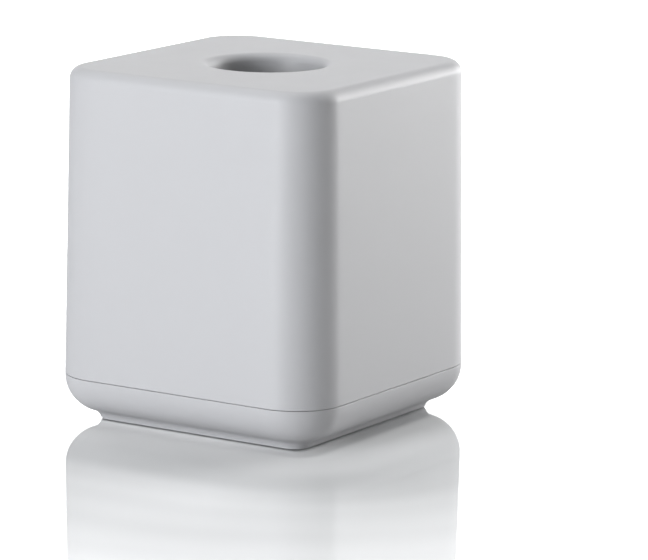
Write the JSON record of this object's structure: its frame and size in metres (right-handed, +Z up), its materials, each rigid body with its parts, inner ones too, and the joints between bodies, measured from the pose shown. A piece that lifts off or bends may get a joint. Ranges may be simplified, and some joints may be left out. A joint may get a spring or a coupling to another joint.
{
  "type": "tissue box cover",
  "caption": "Rounded square tissue box cover with leaning walls and a round opening in its top; it lifts off a low bowl-shaped base that stands on a drawn-in foot.",
  "frame": {"origin": "the point on the table under the centre of the foot, in the plane of the pads' lower faces", "axes": "+Z up along the centre line of the cover and its round opening; +X to the right and -Y towards the front when the front face is looked at squarely"},
  "size_m": [0.13, 0.13, 0.1463],
  "materials": {
    "cover_plastic": "satin",
    "base_plastic": "satin",
    "pad_rubber": "matt"
  },
  "bodies": {
    "base": {"base_tray": "base_plastic", "foot_pad_front_left": "pad_rubber", "foot_pad_front_right": "pad_rubber", "foot_pad_rear_left": "pad_rubber", "foot_pad_rear_right": "pad_rubber"},
    "cover": {"cover_shell": "cover_plastic"}
  },
  "joints": [
    {"name": "cover_lift", "type": "slide", "parent": "base", "child": "cover", "axis": [0, 0, 1], "range_m": [0, 0.13]}
  ]
}
